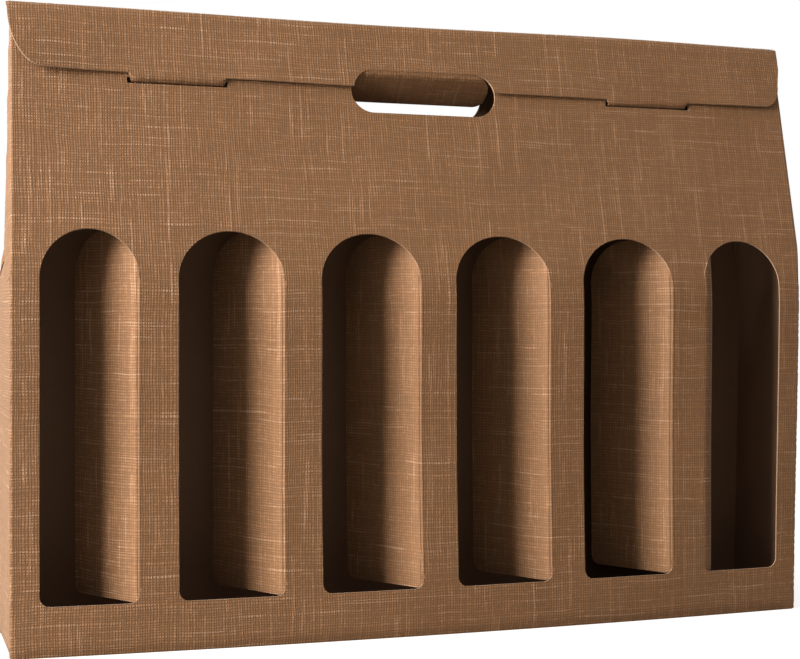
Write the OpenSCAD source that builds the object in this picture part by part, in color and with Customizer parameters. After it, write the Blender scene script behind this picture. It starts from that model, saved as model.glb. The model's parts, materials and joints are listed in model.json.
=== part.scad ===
// Gift box for six bottles, folded from one die-cut sheet of linen-embossed board.
// The large panels lean together to a ridge, the ends fold inward below it, and a
// flap turns over the ridge and locks in the front with two tabs. The flaps of the
// arched windows stay on the sheet: they fold inward and part the bottles.
// X runs along the width, the front faces -Y, and Z is up from the base.

/* [Carton] */
// Outside width
carton_w = 420; // [400:1:460]
// Outside depth at the base
carton_d = 63; // [60:0.5:75]
// Height over the closed ridge
carton_h = 310; // [300:1:340]
// Height at which the ends fold in and the large panels start to lean
crease_z = 178; // [165:1:190]
// Thickness of the board
board_t = 1.5; // [1:0.1:1.8]
// Outside radius of the folds round the base and at the corners
fold_r = 2.5; // [2:0.1:4]
// Radius of the soft bend where the large panels start to lean
bend_r = 110; // [60:1:140]
// Clear width between the large panels at the ridge
ridge_gap = 4.4; // [4:0.1:8]
// How far the leaning panels draw in at each end
end_draw_in = 2; // [1:0.1:4]
// Height over which the ends draw in, above the crease
draw_in_h = 26; // [15:1:40]
// Width of the glued seam inside the back
seam_w = 20; // [12:1:28]

/* [Windows] */
// Number of windows
window_n = 6; // [5:1:7]
// Height of the sills above the base
sill_z = 23.8; // [18:0.2:30]
// Clear height of a window
window_h = 177.6; // [160:0.2:182]
// Height of the arch over its springing
arch_h = 24.4; // [16:0.2:28]
// Rounding of the sill corners
sill_r = 5; // [2:0.5:8]
// Width of the board between two windows
strip_w = 18.6; // [14:0.2:24]
// Width of the board beside the end windows
end_strip_w = 13.1; // [10:0.1:18]
// How much narrower the end windows are than the others
end_window_less = 5.6; // [0:0.2:8]
// Fold of the window flaps, from flush
window_fold = 57; // [40:1:80]
// Fold of the last window's flap, from flush
last_window_fold = 62; // [40:1:80]
// Radius of a window flap's fold
roll_r = 2; // [1:0.1:6]

/* [Closing flap] */
// Length of the flap down the front, from the ridge
flap_drop = 33.5; // [31:0.5:36]
// Radius at which the flap turns over the ridge
ridge_r = 2; // [1.5:0.1:3]
// Width and height of the rounding of the flap's left corner
left_corner = [15, 22];
// Width and height of the rounding of the flap's right corner
right_corner = [10, 15];
// Width of a locking tab
tab_w = 48.5; // [36:0.5:60]
// Distance from the middle of the box to the middle of a tab
tab_x = 128; // [100:1:150]
// Radius of a tab's fold
tab_r = 1.75; // [1.5:0.05:2]
// Length of a tab past its fold
tab_reach = 7; // [5:0.5:9]
// Fold of a tab, from flush
tab_fold = 86; // [84:1:88]

/* [Hand hole] */
// Width of the hole
hole_w = 78.5; // [72:0.5:95]
// Height of the hole
hole_h = 23.3; // [22:0.1:26]
// Depth of the hole's middle below the ridge
hole_drop = 35; // [34:0.5:38]
// Width of the grip tongue
tongue_w = 72; // [60:0.5:73]
// Length of the grip tongue from its fold
tongue_l = 21; // [16:0.5:22]
// Rounding of the grip tongue's corners
tongue_r = 8; // [4:0.5:9]
// Fold of the grip tongue, from flush
tongue_fold = 63; // [40:1:75]

/* [Hidden] */
$fn = 48;

// Gap between pieces that move against each other
play = 0.3;
// Overrun of every cut
over = 4;
// Straight lengths between the folds of a tab
tab_lead = 0.2;
// Room above and below a tab in its slit, and at each end of it
slit_room = 0.65;
// Height of the lip that the folded end leaves above its crease
crease_lip = 1;
// How far the front panel stops short of the ridge
front_short = 1;
// Kerf of the die round a window flap
kerf = 0.5;
// How much the flap's notch is smaller than the hand hole, all round
notch_inset = 1;
// Width and depth of the joint between the bottom flaps
joint_w = 0.8;
joint_depth = 0.7;
// Half width of the bottom's locking tongue at its root and at its end
lock_root_share = 0.24;
lock_end_share = 0.18;
// Reach of the locking tongue, as a share of the depth
lock_reach_share = 0.22;
// Slope of the seam's ends, as a share of its width
seam_slope_share = 0.6;
// Steps of a soft bend, of a fold and of an arch
bend_steps = 8;
fold_steps = 6;
arch_steps = 28;

board_brown = [0.55, 0.40, 0.29];
flap_brown = [0.58, 0.42, 0.31];
tongue_brown = [0.50, 0.36, 0.26];

half_w = carton_w / 2;
half_d = carton_d / 2;
floor_t = 2 * board_t;
panel_top = carton_h - board_t - play;
ridge_half = ridge_gap / 2 + board_t;
lean = atan((half_d - ridge_half) / (panel_top - crease_z));
bend_z = crease_z - bend_r * tan(lean / 2);
bend_centre = [half_d - bend_r, bend_z];
cut_span = carton_d + 2 * over;

window_w = (carton_w - 2 * end_strip_w - (window_n - 1) * strip_w + 2 * end_window_less) / window_n;
end_window_w = window_w - end_window_less;
front_mid_y = -half_d + board_t / 2;

hinge_z = carton_h - board_t / 2;
hinge_y = lean_y(board_t / 2, hinge_z);
slope_heading = -90 - lean;
slope = [cos(slope_heading), sin(slope_heading)];
// Corner of the flap's mid-line over the front edge of the ridge
ridge_corner = [-lean_y(-play - board_t / 2, hinge_z), hinge_z];
ridge_tangent = ridge_r * tan((90 - lean) / 2);
slit_drop = flap_drop + tab_lead + tab_r;
hole_z = carton_h - hole_drop;
notch_top_z = hole_z + hole_h / 2 - notch_inset;
tongue_drop = (hinge_z - notch_top_z) / cos(lean) + play + board_t / 2;
tongue_hinge = ridge_corner + tongue_drop * slope;

// Points on an arc, from one angle to another
function arc(centre, radius, from, to, steps) =
    [for (k = [0 : steps]) let (a = from + (to - from) * k / steps) centre + radius * [cos(a), sin(a)]];

// Depth of a leaning panel at a height, measured in from its outside face
function lean_y(inset, z) =
    let (end = bend_centre + (bend_r - inset) * [cos(lean), sin(lean)])
    end[0] - (z - end[1]) * tan(lean);

// Upper part of the back panel's section: its soft bend and its lean
function bend_line(inset, top) =
    concat(arc(bend_centre, bend_r - inset, 0, lean, bend_steps), [[lean_y(inset, top), top]]);

// A half section and its mirror image, as one closed outline
function both_sides(half) =
    concat(half, [for (k = [len(half) - 1 : -1 : 0]) [-half[k][0], half[k][1]]]);

// Mid-line of a folded sheet as points with headings; each run is a length, then a fold and its radius
function sheet_line(runs, at, heading, i = 0) =
    let (
        corner = at + runs[i][0] * [cos(heading), sin(heading)],
        turn = runs[i][1],
        centre = corner + sign(turn) * runs[i][2] * [-sin(heading), cos(heading)],
        fold = turn == 0 ? [] : [for (k = [1 : fold_steps]) let (a = heading + turn * k / fold_steps)
            [centre - sign(turn) * runs[i][2] * [-sin(a), cos(a)], a]],
        here = concat(i == 0 ? [[at, heading]] : [], [[corner, heading]], fold),
        end = here[len(here) - 1])
    i == len(runs) - 1 ? here : concat(here, sheet_line(runs, end[0], end[1], i + 1));

// Section of a folded sheet of the board's thickness
function sheet_section(line) =
    let (side = [for (s = line) board_t / 2 * [-sin(s[1]), cos(s[1])]], n = len(line))
    concat([for (k = [0 : n - 1]) line[k][0] + side[k]], [for (k = [n - 1 : -1 : 0]) line[k][0] - side[k]]);

// Left edge and width of a window
function is_end(i) = i == 0 || i == window_n - 1;
function width_of(i) = is_end(i) ? end_window_w : window_w;
function left_of(i) = -half_w + end_strip_w
    + (i == 0 ? 0 : end_window_w + strip_w + (i - 1) * (window_w + strip_w));

// Arched outline of a window or its flap, with its left edge at zero
function arched(w, sill, top, r) =
    let (spring = top - arch_h)
    concat(
        arc([r, sill + r], r, 180, 270, fold_steps),
        arc([w - r, sill + r], r, 270, 360, fold_steps),
        [for (k = [0 : arch_steps]) let (a = 180 * k / arch_steps) [w / 2 * (1 + cos(a)), spring + arch_h * sin(a)]]);

// Draws a section of depth and height along the width
module along_x(length) {
    rotate([90, 0, 90]) linear_extrude(length, center = true) children();
}

// Draws an outline of width and height through the depth
module along_y(length) {
    rotate([90, 0, 0]) linear_extrude(length, center = true) children();
}

// Rounded bar of full round ends, lying along X about the hand hole's middle
module hole_outline(inset) {
    r = hole_h / 2 - inset;
    straight = hole_w - hole_h;
    translate([0, hole_z]) {
        square([straight, 2 * r], center = true);
        for (side = [-1, 1]) translate([side * straight / 2, 0]) circle(r);
    }
}

// Outside of the closed box: its section, its plan and its front outline together
module envelope() {
    corner = [half_d - fold_r, fold_r];
    section = concat(arc(corner, fold_r, -90, 0, fold_steps), bend_line(0, panel_top));
    intersection() {
        along_x(carton_w) polygon(both_sides(section));
        along_y(carton_d) polygon(both_sides(concat(
            arc([half_w - fold_r, fold_r], fold_r, -90, 0, fold_steps),
            [[half_w, crease_z], [half_w - end_draw_in, crease_z + draw_in_h], [half_w - end_draw_in, panel_top]])));
        linear_extrude(carton_h) polygon(both_sides(concat(
            arc([half_w - fold_r, -half_d + fold_r], fold_r, -90, 0, fold_steps),
            arc([half_w - fold_r, half_d - fold_r], fold_r, 0, 90, fold_steps))));
    }
}

// Width left between the folded-in ends at the ridge
ridge_in = half_w - end_draw_in - half_d;
// Slope of the folded-in ends
end_slope = (half_w - ridge_in) / (panel_top - crease_z);

// Outside face of a folded-in end at a height
function end_x(z) = half_w - end_slope * (z - crease_z - crease_lip);

// Hollow between the panels, bounded by the upright and the folded-in ends
module hollow() {
    top = panel_top + over;
    intersection() {
        along_x(carton_w) polygon(both_sides(concat([[half_d - board_t, floor_t]], bend_line(board_t, top))));
        along_y(cut_span) polygon(both_sides([
            [half_w - board_t, floor_t], [half_w - board_t, crease_z],
            [end_x(top) - board_t, top]]));
    }
}

// Recess outside the folded-in ends, lined by the ends' doubled wings
module end_recess() {
    low = crease_z - over;
    top = panel_top + over;
    intersection() {
        along_x(carton_w + 2 * over) polygon(both_sides(concat(
            bend_line(2 * board_t, panel_top), [[lean_y(2 * board_t, panel_top), top]])));
        along_y(cut_span) polygon([
            [end_x(low), low], [half_w + over, low], [half_w + over, top], [end_x(top), top]]);
    }
}

// Cuts for the windows, in the front panel only
module window_cuts() {
    depth = half_d;
    translate([0, -half_d, 0]) for (i = [0 : window_n - 1])
        translate([left_of(i), 0, 0]) along_y(depth) polygon(arched(width_of(i), sill_z, sill_z + window_h, sill_r));
}

// One window flap, hinged at the origin: it folds inward and runs on flat
module window_flap(w, fold) {
    rolled = roll_r * fold * PI / 180;
    line = sheet_line([[kerf, fold, roll_r], [w - rolled, 0, 0]], [-kerf, 0], 0);
    shortening = rolled - roll_r * sin(fold);
    intersection() {
        linear_extrude(carton_h) polygon(sheet_section(line));
        rotate(fold) translate([-kerf, 0, 0]) along_y(cut_span)
            polygon(arched(w - shortening, sill_z + kerf, sill_z + window_h - kerf, sill_r));
    }
}

// All window flaps: each hangs on its right edge, the last one on its left
module window_flaps() {
    for (i = [0 : window_n - 2])
        translate([left_of(i) + width_of(i), front_mid_y, 0]) mirror([1, 0, 0]) window_flap(width_of(i), window_fold);
    translate([left_of(window_n - 1), front_mid_y, 0]) window_flap(end_window_w, last_window_fold);
}

// Slits in the front panel that take the closing flap's tabs
module tab_slits() {
    centre = ridge_corner + slit_drop * slope;
    for (side = [-1, 1]) translate([side * tab_x, centre[0], centre[1]]) rotate([-lean, 0, 0])
        cube([tab_w + 2 * slit_room, 2 * tab_reach, board_t + 2 * slit_room], center = true);
}

// Joint between the bottom flaps, with the locking tongue in its middle
module bottom_joint() {
    reach = lock_reach_share * carton_d;
    root = lock_root_share * half_w;
    end = lock_end_share * half_w;
    upper = [[half_w - floor_t, 0], [root, 0], [end, reach]];
    line = concat(upper, [for (k = [len(upper) - 1 : -1 : 0]) [-upper[k][0], upper[k][1]]]);
    translate([0, 0, -over]) linear_extrude(joint_depth + over)
        polygon(concat(
            [for (p = line) p + [0, joint_w / 2]],
            [for (k = [len(line) - 1 : -1 : 0]) line[k] - [0, joint_w / 2]]));
}

// Glued seam: the left end's edge strip, inside the back panel
module glued_seam() {
    slope_h = seam_slope_share * seam_w;
    low = floor_t + board_t;
    high = bend_z;
    translate([-half_w + board_t / 2, half_d - board_t, 0]) along_y(2 * board_t)
        polygon([[0, low], [seam_w, low + slope_h], [seam_w, high - slope_h], [0, high]]);
}

module carton() {
    color(board_brown) {
        difference() {
            envelope();
            hollow();
            end_recess();
            mirror([1, 0, 0]) end_recess();
            window_cuts();
            tab_slits();
            bottom_joint();
            along_y(cut_span) hole_outline(0);
            translate([-half_w - over, -half_d - over, panel_top - front_short])
                cube([carton_w + 2 * over, half_d + over, front_short + over]);
        }
        window_flaps();
        glued_seam();
    }
}

// Front outline of the closing flap: rounded lower corners and the notch of the hand hole
module flap_outline() {
    low = (ridge_corner + flap_drop * slope)[1];
    left = [for (k = [0 : arch_steps]) let (a = 180 + 90 * k / arch_steps)
        [-half_w + left_corner[0] * (1 + cos(a)), low + left_corner[1] * (1 + sin(a))]];
    right = [for (k = [0 : arch_steps]) let (a = 270 + 90 * k / arch_steps)
        [half_w - right_corner[0] * (1 - cos(a)), low + right_corner[1] * (1 + sin(a))]];
    difference() {
        polygon(concat(left, right, [[half_w, carton_h + over], [-half_w, carton_h + over]]));
        hole_outline(notch_inset);
    }
}

module closing_flap() {
    top_run = hinge_y - ridge_corner[0] - ridge_tangent;
    front_run = flap_drop - ridge_tangent;
    line = sheet_line([[top_run, 90 - lean, ridge_r], [front_run, 0, 0]], [hinge_y, hinge_z], 180);
    tab_from = ridge_corner + (flap_drop - over) * slope;
    tab_line = sheet_line([[over + tab_lead, tab_fold, tab_r], [tab_reach, 0, 0]], tab_from, slope_heading);
    color(flap_brown) {
        intersection() {
            along_x(carton_w) {
                polygon(sheet_section(line));
                translate([hinge_y, hinge_z]) circle(board_t / 2);
            }
            along_y(cut_span) flap_outline();
        }
        for (side = [-1, 1]) translate([side * tab_x, 0, 0]) along_x(tab_w) polygon(sheet_section(tab_line));
    }
}

module grip_tongue() {
    straight = tongue_w / 2 - tongue_r;
    outline = concat(
        arc([straight, tongue_r], tongue_r, -90, 0, fold_steps),
        arc([straight, tongue_l - tongue_r], tongue_r, 0, 90, fold_steps));
    color(tongue_brown) translate([0, tongue_hinge[0], tongue_hinge[1]])
        rotate([slope_heading + tongue_fold - 90, 0, 0]) {
            rotate([90, 0, 0]) linear_extrude(board_t, center = true) polygon(both_sides(outline));
            along_x(2 * straight) circle(board_t / 2);
        }
}

carton();
closing_flap();
grip_tongue();
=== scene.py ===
"""Gift box for six bottles, folded from one sheet of linen-embossed board.

Each panel starts as a flat outline of the die-cut sheet in millimetres. It is filled with a mesh,
folded into its place and given the board's thickness, so the linen follows the sheet round every bend.
"""
import json
import math

import bpy
import numpy as np
from mathutils import Matrix, Vector
from mathutils.geometry import delaunay_2d_cdt
from mathutils.kdtree import KDTree


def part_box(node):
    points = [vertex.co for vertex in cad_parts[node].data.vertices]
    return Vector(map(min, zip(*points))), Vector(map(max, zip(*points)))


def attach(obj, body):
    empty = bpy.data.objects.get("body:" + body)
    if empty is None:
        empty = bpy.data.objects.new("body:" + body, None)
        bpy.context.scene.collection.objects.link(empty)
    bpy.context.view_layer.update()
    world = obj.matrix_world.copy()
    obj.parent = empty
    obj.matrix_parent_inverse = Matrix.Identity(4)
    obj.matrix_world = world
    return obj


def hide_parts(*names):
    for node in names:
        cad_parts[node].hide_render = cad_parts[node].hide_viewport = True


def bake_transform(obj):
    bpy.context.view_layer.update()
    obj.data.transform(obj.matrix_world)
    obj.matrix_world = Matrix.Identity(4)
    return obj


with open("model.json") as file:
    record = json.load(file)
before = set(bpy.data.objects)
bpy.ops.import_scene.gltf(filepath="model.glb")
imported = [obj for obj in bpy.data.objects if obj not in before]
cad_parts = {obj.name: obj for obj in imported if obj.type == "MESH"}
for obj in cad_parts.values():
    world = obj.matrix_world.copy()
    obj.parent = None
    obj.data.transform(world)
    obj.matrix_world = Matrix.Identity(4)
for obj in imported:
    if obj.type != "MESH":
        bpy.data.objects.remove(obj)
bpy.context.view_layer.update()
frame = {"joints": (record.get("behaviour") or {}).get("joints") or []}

# Driving sizes, in millimetres, from the frame where it holds them
MM = 0.001
CARTON_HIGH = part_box("carton")[1] / MM
FLAP_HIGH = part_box("closing_flap")[1] / MM
JOINT_AT = {joint["name"]: Vector(joint["pos_m"]) / MM for joint in frame["joints"]}
HALF_W = CARTON_HIGH.x
HALF_D = CARTON_HIGH.y
RIDGE_Z = FLAP_HIGH.z
HINGE = JOINT_AT["flap_hinge"].yz

# Board and its folds: the thickness of the solids, and of the sheet that is seen
BOARD = 1.5
SHEET = 0.9
CHAMFER = 0.14
FOLD_R = 1.1
CREASE_Z = 178.0
CREASE_R = 2.0
BEND_R = 110.0
RIDGE_GAP = 4.4
PLAY = 0.3
SEAM_W = 20.0
SEAM_SLANT = 0.6
FRONT_SHORT = 1.0

# Folded-in ends: how far the folds of the front and the back draw in above the crease
END_DRAW_IN = 2.0
END_SHORT = 2.0
END_TURN_MORE = 1.9
WING_RISE = 12.0
BACK_DRAW_IN = 4.0
BACK_DRAW_H = 30.0
BACK_R = 1.6
DRAW_IN_H = 22.0
DRAW_CLIMB_H = 80.0
# Each pair: the draw just above the crease, and the further draw over the climb
LEFT_DRAW = (0.8, 1.2)
RIGHT_DRAW = (-1.45, 1.35)

# Strip of each end that runs back from the front's fold and curls inward
STRIP_SHARE = 0.75
STRIP_SLANT = math.radians(4)
STRIP_EAR = 24.0
STRIP_EAR_H = 9.0
STRIP_CURL_R = 1.6
STRIP_CURL = 3.0
STRIP_CURL_START = 4.0
STRIP_CURL_H = 16.0

# Swell, unevenness and flare of the board
BOW = 3.0
BASE_BOW = 2.4
BASE_BOW_H = 110.0
BOW_END_Z = 150.0
BOW_END_H = 100.0
BACK_SWELL = 0.6
WAVE = 0.25
# Across and up for the slow wave, then across and up for the quick one
WAVE_LENGTHS = (41.0, 57.0, 23.0, 31.0)
CALM_W = 40.0
CALM_LOW_H = 30.0
CALM_TOP_V = 230.0
CALM_TOP_H = 40.0
# Outward shift of the right end at its base, and from its crease up
FLARE = (-0.8, 1.3)

# Windows
WINDOW_N = 6
SILL_Z = 23.8
WINDOW_H = 177.6
ARCH_H = 24.4
SILL_R = 5.0
STRIP_W = 18.6
END_STRIP_W = 13.1
END_WINDOW_LESS = 5.6
WINDOW_FOLDS = [math.radians(a) for a in (57, 60, 60, 60, 60, 68)]
SCORE_R = 1.2
SCORE_APART = 2.2
SCORE_SHARE = 0.66
SCORE_LIP = 0.10
SCORE_GROOVE = 0.30
SCORE_W = 0.45
KERF = 0.12
WINDOW_SHIFT = 0.5
LAST_ROLL_R = 8.0

# Closing flap, locking tabs, hand hole and grip tongue
FLAP_DROP = 33.5
RIDGE_R = 2.0
HINGE_R = 1.3
ROOT = 4.0
LEFT_CORNER = (16.5, 29.0)
LEFT_SLANT = 0.7
LEFT_RAISE = (1.3, 0.6)
LEFT_TOP_IN = 0.2
ROOT_LEFT_IN = 0.8
RIGHT_CORNER = (9.0, 13.0)
RIGHT_OUT = 1.6
RIGHT_TAPER = 9.0
TAB_W = 48.5
TAB_X = 128.0
TAB_R = 1.75
TAB_REACH = 7.0
TAB_LEAD = 0.2
TAB_TAPER = 1.2
TAB_FOLD = math.radians(86)
SLIT_ROOM = 0.65
HOLE_W = 78.5
HOLE_H = 23.3
HOLE_DROP = 35.0
NOTCH_INSET = 1.0
TONGUE_L = 21.0
TONGUE_CORNER_R = 6.0
TONGUE_FOLD = math.radians(63)
TONGUE_LEAD = 0.3
TONGUE_ROLL_R = 2.6

# Lift of the closing flap off the front, and wave of the ridge as height and place
LEFT_LIFT = math.radians(6.0)
RIGHT_LIFT = math.radians(1.2)
MIDDLE_LIFT = math.radians(0.7)
LEFT_LIFT_W = 70.0
RIGHT_LIFT_W = 40.0
MIDDLE_LIFT_W = 20.0
MIDDLE_RIPPLE = 0.4
MIDDLE_RIPPLE_W = 19.0
LIFT_START = 2.0
LIFT_H = 12.0
RIDGE_RISE = 0.4
RIDGE_SAG = (0.6, -45.0)
RIDGE_HUMP = (0.9, 115.0)
RIDGE_WAVE_W = 70.0

# Joint of the locked bottom: shares of the half depth and half width, and its gap and margin
BOTTOM_REACH = 0.44
BOTTOM_ROOT = 0.24
BOTTOM_END = 0.18
BOTTOM_GAP = 0.35
BOTTOM_MARGIN = 4.0

# Worked-out sizes
PANEL_TOP = RIDGE_Z - BOARD - PLAY
RIDGE_HALF = RIDGE_GAP / 2 + BOARD
LEAN = math.atan((HALF_D - RIDGE_HALF) / (PANEL_TOP - CREASE_Z))
BEND_Z = CREASE_Z - BEND_R * math.tan(LEAN / 2)
RIDGE_IN = HALF_W - END_DRAW_IN - HALF_D
END_SLOPE = (HALF_W - RIDGE_IN) / (PANEL_TOP - CREASE_Z)
END_LEAN = math.atan(END_SLOPE)
FOLD_LOW = FOLD_R * (1 - math.pi / 2)
SHEET_HALF_W = HALF_W - FOLD_LOW
HOLE_Z = RIDGE_Z - HOLE_DROP
NOTCH_TOP_Z = HOLE_Z + HOLE_H / 2 - NOTCH_INSET
WINDOW_W = (2 * HALF_W - 2 * END_STRIP_W - (WINDOW_N - 1) * STRIP_W + 2 * END_WINDOW_LESS) / WINDOW_N
END_WINDOW_W = WINDOW_W - END_WINDOW_LESS
WINDOW_TOP = SILL_Z + WINDOW_H
SPRING_Z = WINDOW_TOP - ARCH_H
SLOPE_HEADING = -math.pi / 2 - LEAN

# Mesh steps, in millimetres, and numbers of points
STEP = 4.0
FINE_STEP = 0.2
TONGUE_STEP = 2.5
CLEAR_SHARE = 0.55
RIM_SHARE = 0.4
RIM_BATCH = 200
FOLD_STEP = 0.05
NORMAL_STEP = 0.02
SEAM_EDGE = 0.1
ARC_STEPS = 7
ARCH_STEPS = 40
STRIP_STEPS = 110
BASE_STEPS = 41
SHARP = math.radians(32)

# Close rows of points at the folds: start, end and step, or distances
CORNER_ROWS = (-4.0, 1.0, 0.4)
BACK_ROWS = (-8.4, 1.8, 0.6)
CORNER_ROW_STEP = 3.3
CURL_ROWS = (0.0, 0.8, 1.6)
CURL_ROWS_START = 12.0
CURL_ROWS_SHORT = 4.0
CURL_ROW_STEP = 2.2
SCORE_BEFORE = 1.2
SCORE_PAST = 2.0
ROLL_PAST = 1.5
SCORE_ROW = 0.3
SCORE_ROW_STEP = 3.1
SCORE_ABOVE_SILL = 1.5
RIDGE_ROW_START = 0.7
RIDGE_ROW = 0.9
TAB_ROW_HALF = 22.0
TAB_ROW = 0.6
TONGUE_ROW_HALF = 33.0
TONGUE_ROW_STEP = 3.0
TONGUE_ROWS = (0.5, 4.5, 0.5)

# Material slots of a piece
LINEN = 0
INNER = 1
CUT = 2


def show(thing):
    """Puts an object in the scene."""
    bpy.context.scene.collection.objects.link(thing)


# Flat outlines

def arc(centre, radius, start, end, steps=ARC_STEPS):
    """Points on an arc between two angles in degrees."""
    angles = np.radians(np.linspace(start, end, steps + 1))
    return [(centre[0] + radius * math.cos(a), centre[1] + radius * math.sin(a)) for a in angles]


def window_place(i):
    """Left edge and width of a window."""
    first = -HALF_W + END_STRIP_W + WINDOW_SHIFT
    if i == 0:
        return first, END_WINDOW_W
    left = first + END_WINDOW_W + STRIP_W + (i - 1) * (WINDOW_W + STRIP_W)
    return left, END_WINDOW_W if i == WINDOW_N - 1 else WINDOW_W


def window_path(i, inset):
    """Cut path of a window, from its hinge's lower end round to the upper end, drawn in by an inset."""
    left, width = window_place(i)
    low, spring, r = SILL_Z + inset, SPRING_Z, SILL_R
    far, hinge = inset, width
    path = arc((hinge - r, low + r), r, 0, -90)
    path += arc((far + r, low + r), r, 270, 180)
    middle, half, rise = (far + hinge) / 2, (hinge - far) / 2, ARCH_H - inset
    turns = np.linspace(0, math.pi, ARCH_STEPS)
    path += [(middle - half * math.cos(a), spring + rise * math.sin(a)) for a in turns]
    if i == WINDOW_N - 1:
        path = [(width - u, v) for u, v in path]
    return [(left + u, v) for u, v in path]


def rectangle(u0, v0, u1, v1):
    """Corners of a rectangle."""
    return [(u0, v0), (u1, v0), (u1, v1), (u0, v1)]


# Filling and folding

def densify(loop, step):
    """Splits the long edges of a closed loop."""
    points = []
    for (u0, v0), (u1, v1) in zip(loop, loop[1:] + loop[:1]):
        n = max(1, math.ceil(math.hypot(u1 - u0, v1 - v0) / step))
        points += [(u0 + (u1 - u0) * k / n, v0 + (v1 - v0) * k / n) for k in range(n)]
    return points


def inside(loop, points):
    """Which points lie inside a closed loop."""
    loop = np.asarray(loop)
    result = np.zeros(len(points), bool)
    u, v = points[:, 0], points[:, 1]
    for (u0, v0), (u1, v1) in zip(loop, np.roll(loop, -1, axis=0)):
        if v0 == v1:
            continue
        crosses = (v0 > v) != (v1 > v)
        result ^= crosses & (u < u0 + (v - v0) * (u1 - u0) / (v1 - v0))
    return result


def on_sheet(loops, points):
    """Which points lie inside the outline and outside its holes."""
    keep = inside(loops[0], points)
    for loop in loops[1:]:
        keep &= ~inside(loop, points)
    return keep


def fill(outline, holes, step, extra=None):
    """Triangles that fill a flat outline with holes: points and triples, all turning left."""
    loops = [densify(loop, step) for loop in [outline] + holes]
    rim = np.concatenate([np.asarray(loop) for loop in loops])
    low, high = rim.min(axis=0), rim.max(axis=0)
    across = np.arange(low[0], high[0], step)
    upward = np.arange(low[1], high[1], step)
    grid = np.stack(np.meshgrid(across, upward), -1).reshape(-1, 2)
    if extra is not None:
        tree = KDTree(len(extra))
        for k, (u, v) in enumerate(extra):
            tree.insert((u, v, 0.0), k)
        tree.balance()
        clear = [tree.find((u, v, 0.0))[2] > CLEAR_SHARE * step for u, v in grid]
        grid = np.concatenate([grid[np.asarray(clear)], extra])
    grid = grid[on_sheet(loops, grid)]
    room = np.full(len(grid), np.inf)
    for start in range(0, len(rim), RIM_BATCH):
        gap = grid[:, None, :] - rim[None, start:start + RIM_BATCH, :]
        room = np.minimum(room, (gap ** 2).sum(-1).min(axis=1))
    grid = grid[room > (FINE_STEP if extra is not None else RIM_SHARE * step) ** 2]
    edges, first = [], 0
    for loop in loops:
        n = len(loop)
        edges += [(first + k, first + (k + 1) % n) for k in range(n)]
        first += n
    flat = [Vector(p) for p in np.concatenate([rim, grid])]
    points, _, triples, *_ = delaunay_2d_cdt(flat, edges, [], 0, 1e-5)
    points = np.array([(p.x, p.y) for p in points])
    triples = np.array([t for t in triples if len(t) == 3])
    return points, triples[on_sheet(loops, points[triples].mean(axis=1))]


class Board:
    """Collects folded sheets into the mesh of one piece."""

    def __init__(self, settle=None):
        self.settle = settle
        self.points, self.faces, self.slots, self.uvs = [], [], [], []
        self.count = 0

    def add(self, outline, place, holes=(), step=STEP, extra=None,
            region=None, seam=None, shift=(0.0, 0.0), rim=CUT):
        """Fills an outline, folds it with place(u, v, region) and gives it the board's thickness."""
        flat, triples = fill(outline, list(holes), step, extra)
        where = region(flat) if region else np.zeros(len(flat), int)
        starts, ends = rim_edges(triples)
        outward = rim_normals(flat, starts, ends)
        on_rim = np.unique(starts)
        inset = np.full(len(flat), CHAMFER)
        if seam:
            inset[seam(flat)] = 0.0
        skin = flat - outward * inset[:, None]
        if self.settle:
            place = self.settle(place)
        top, top_normal = folded(place, skin, where)
        edge, edge_normal = folded(place, flat[on_rim], where[on_rim])
        n, m = len(flat), len(on_rim)
        self.points += [top, top - SHEET * top_normal]
        self.points += [edge - CHAMFER * edge_normal, edge - (SHEET - CHAMFER) * edge_normal]
        rank = np.zeros(n, int)
        rank[on_rim] = np.arange(m)
        outer, inner = self.count, self.count + n
        upper, lower = self.count + 2 * n, self.count + 2 * n + m
        uv = flat + np.asarray(shift)
        depth = outward * SHEET
        for a, b, c in triples:
            self._face((outer + a, outer + b, outer + c), LINEN, (uv[a], uv[b], uv[c]))
            self._face((inner + c, inner + b, inner + a), INNER, (uv[c], uv[b], uv[a]))
        for a, b in zip(starts, ends):
            ra, rb = rank[a], rank[b]
            band = (uv[a], uv[a] + depth[a], uv[b] + depth[b], uv[b])
            self._face((outer + a, upper + ra, upper + rb, outer + b), LINEN, band)
            self._face((upper + ra, lower + ra, lower + rb, upper + rb), rim, band)
            self._face((lower + ra, inner + a, inner + b, lower + rb), INNER, band)
        self.count += 2 * n + 2 * m

    def _face(self, corners, slot, uv):
        """One face, with its material slot and its place on the sheet."""
        self.faces.append(tuple(int(c) for c in corners))
        self.slots.append(slot)
        self.uvs.extend(uv)

    def piece(self, name, materials):
        """The finished object, with the flat sheet as its UV map in metres."""
        mesh = bpy.data.meshes.new(name)
        mesh.from_pydata((np.concatenate(self.points) * MM).tolist(), [], self.faces)
        mesh.polygons.foreach_set("material_index", self.slots)
        mesh.polygons.foreach_set("use_smooth", [True] * len(self.faces))
        layer = mesh.uv_layers.new(name="sheet")
        layer.data.foreach_set("uv", (np.asarray(self.uvs) * MM).ravel())
        for material in materials:
            mesh.materials.append(material)
        mesh.set_sharp_from_angle(angle=SHARP)
        mesh.update()
        piece = bpy.data.objects.new(name, mesh)
        show(piece)
        return piece


def rim_edges(triples):
    """Directed edges that only one triangle has."""
    pairs = np.concatenate([triples[:, [0, 1]], triples[:, [1, 2]], triples[:, [2, 0]]])
    known = {(a, b) for a, b in pairs.tolist()}
    rim = np.array([(a, b) for a, b in pairs.tolist() if (b, a) not in known])
    return rim[:, 0], rim[:, 1]


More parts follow.
